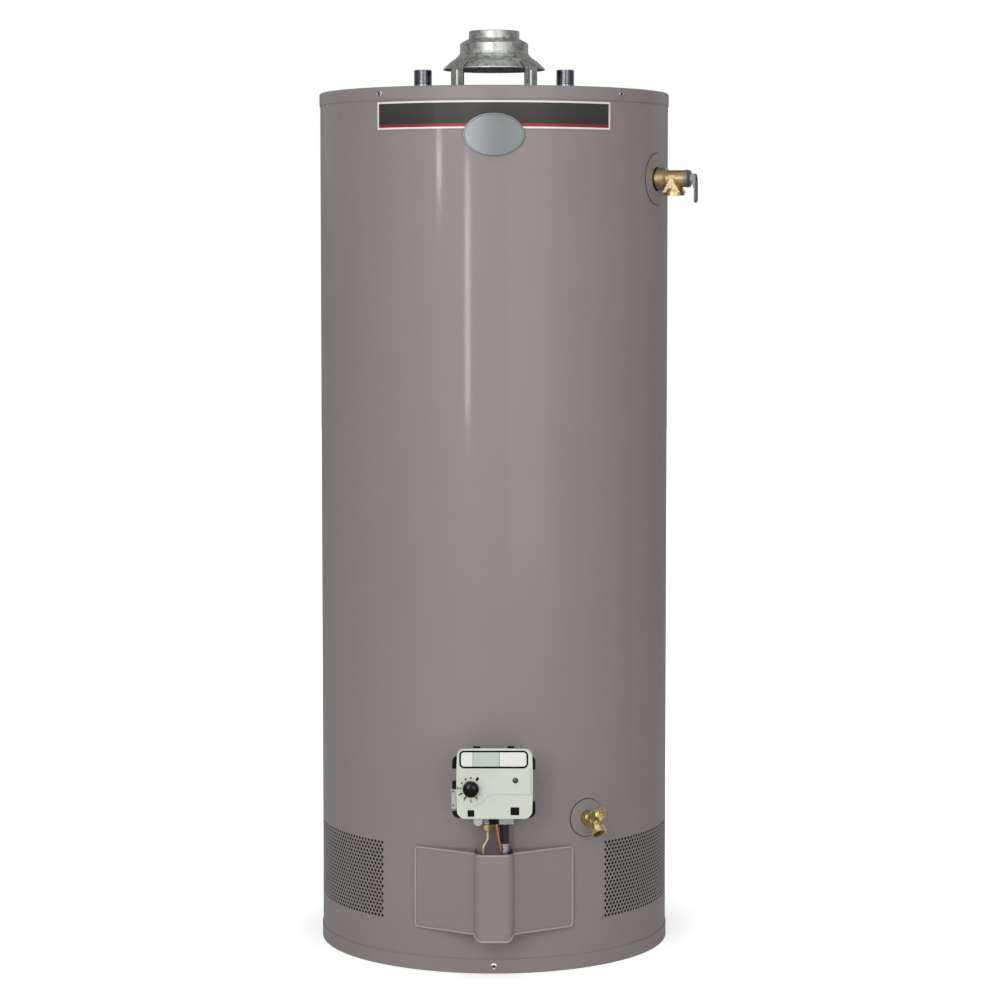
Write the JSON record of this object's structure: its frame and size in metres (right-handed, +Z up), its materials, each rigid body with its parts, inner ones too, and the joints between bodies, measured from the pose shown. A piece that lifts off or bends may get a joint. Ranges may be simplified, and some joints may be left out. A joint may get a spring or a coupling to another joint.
{
  "type": "tank water heater",
  "caption": "Tall round gas water heater with a painted jacket, draft hood on legs, pipe nipples, front gas control, burner door, drain valve and side relief valve.",
  "frame": {"origin": "centre of the base pan's underside, on the floor and on the tank's axis", "axes": "+Z up along the tank's axis, -Y out of the front with the gas control and the burner door, +X to the right seen from the front"},
  "size_m": [0.539, 0.5991, 1.3165],
  "materials": {
    "painted_jacket": "fine satin warm-grey paint",
    "zinc_screws": "zinc plated",
    "foam": "closed-cell foam",
    "tank_steel": "mill-scale dark",
    "bare_steel": "bare",
    "supply_tube": "dark gloss coating",
    "pilot_tube": "soft drawn, satin",
    "brass": "cast and machined, satin",
    "copper": "drawn copper",
    "lead_jacket": "braided sleeve",
    "gasket": "fibre sheet",
    "sight_glass": "clear",
    "black_rubber": "matt",
    "control_alloy": "die-cast",
    "black_plastic": "fine matt",
    "white_plastic": "satin off-white",
    "label_panel": "printed film, blank",
    "lens": "smoked lens",
    "igniter_shell": "off-white",
    "red_button": "dark red",
    "zinc_pipe": "zinc-plated threaded pipe",
    "liner_plastic": "natural polyethylene",
    "anode": "cast sacrificial metal",
    "bonnet_steel": "pressed, satin",
    "galvanised": "spangled zinc",
    "plate_dark": "dark grey with a silver border and a red stripe",
    "oval_silver": "brushed, blank"
  },
  "bodies": {
    "heater": {"base_pan": "painted_jacket", "jacket": "painted_jacket", "top_cap": "painted_jacket", "cap_screws": "zinc_screws", "base_screws": "zinc_screws", "foam_insulation": "foam", "tank_shell": "tank_steel", "top_head": "tank_steel", "bottom_head": "tank_steel", "tank_spuds": "tank_steel", "flue_tube": "tank_steel", "flue_baffle": "bare_steel", "flame_arrestor": "bare_steel", "burner": "bare_steel", "supply_tube": "supply_tube", "supply_nut": "zinc_screws", "pilot_burner": "bare_steel", "pilot_tube": "pilot_tube", "pilot_nut": "brass", "sensor_lead": "copper", "spark_lead": "lead_jacket", "inner_door": "bare_steel", "inner_door_gasket": "gasket", "inner_door_screws": "zinc_screws", "sight_glass": "sight_glass", "tube_grommet": "black_rubber", "control_casting": "control_alloy", "control_frame": "black_plastic", "control_cover": "white_plastic", "control_label": "label_panel", "control_lug_screw": "zinc_screws", "status_lens": "lens", "port_plugs": "black_plastic", "igniter_body": "igniter_shell", "thermowell": "bare_steel", "hot_nipple": "zinc_pipe", "cold_nipple": "zinc_pipe", "nipple_liner": "liner_plastic", "dip_tube": "liner_plastic", "anode_rod": "anode", "relief_body": "brass", "relief_bonnet": "bonnet_steel", "relief_plate": "painted_jacket", "relief_probe": "copper", "drain_body": "brass", "drain_bonnet": "brass", "drain_plate": "painted_jacket", "draft_hood": "galvanised", "hood_legs": "galvanised", "hood_fasteners": "zinc_screws", "nameplate": "plate_dark", "nameplate_oval": "oval_silver"},
    "outer_door": {"outer_door": "painted_jacket"},
    "dial_push_rod": {"dial_stem": "bare_steel"},
    "dial": {"temperature_dial": "black_plastic"},
    "igniter_button": {"igniter_button": "red_button"},
    "relief_stem": {"relief_stem": "bare_steel"},
    "relief_lever": {"relief_lever": "bonnet_steel"},
    "drain_washer": {"drain_washer": "black_rubber"},
    "drain_stem": {"drain_stem": "brass"}
  },
  "joints": [
    {"name": "outer_door_lift_off", "type": "slide", "parent": "heater", "child": "outer_door", "axis": [0, -1, 0], "range_m": [0, 0.12]},
    {"name": "dial_push", "type": "slide", "parent": "heater", "child": "dial_push_rod", "axis": [0, 1, 0], "range_m": [0, 0.004], "stiffness_N_per_m": 1500, "springref_m": -0.002},
    {"name": "dial_turn", "type": "hinge", "parent": "dial_push_rod", "child": "dial", "pos_m": [-0.031, -0.335, 0.2745], "axis": [0, -1, 0], "range_deg": [0, 250]},
    {"name": "igniter_push", "type": "slide", "parent": "heater", "child": "igniter_button", "axis": [0, 0, -1], "range_m": [0, 0.005], "stiffness_N_per_m": 1200, "springref_m": -0.002},
    {"name": "relief_lift", "type": "slide", "parent": "heater", "child": "relief_stem", "axis": [0.9135, -0.4067, 0], "range_m": [0, 0.003], "stiffness_N_per_m": 2000, "springref_m": -0.004},
    {"name": "relief_lever_turn", "type": "hinge", "parent": "relief_stem", "child": "relief_lever", "pos_m": [0.28, -0.12466, 1.102], "axis": [-0.4067, -0.9135, 0], "range_deg": [0, 90]},
    {"name": "drain_washer_lift", "type": "slide", "parent": "heater", "child": "drain_washer", "axis": [0.4219, -0.7022, 0.5736], "range_m": [0, 0.00225]},
    {"name": "drain_stem_turn", "type": "hinge", "parent": "drain_washer", "child": "drain_stem", "pos_m": [0.13803, -0.22972, 0.212], "axis": [0.4219, -0.7022, 0.5736], "range_deg": [0, 540]}
  ],
  "couplings": [
    {"joint": "relief_lever_turn", "follows": "relief_lift", "rad_per_m": 523.6},
    {"joint": "drain_stem_turn", "follows": "drain_washer_lift", "rad_per_m": 4188.8}
  ]
}
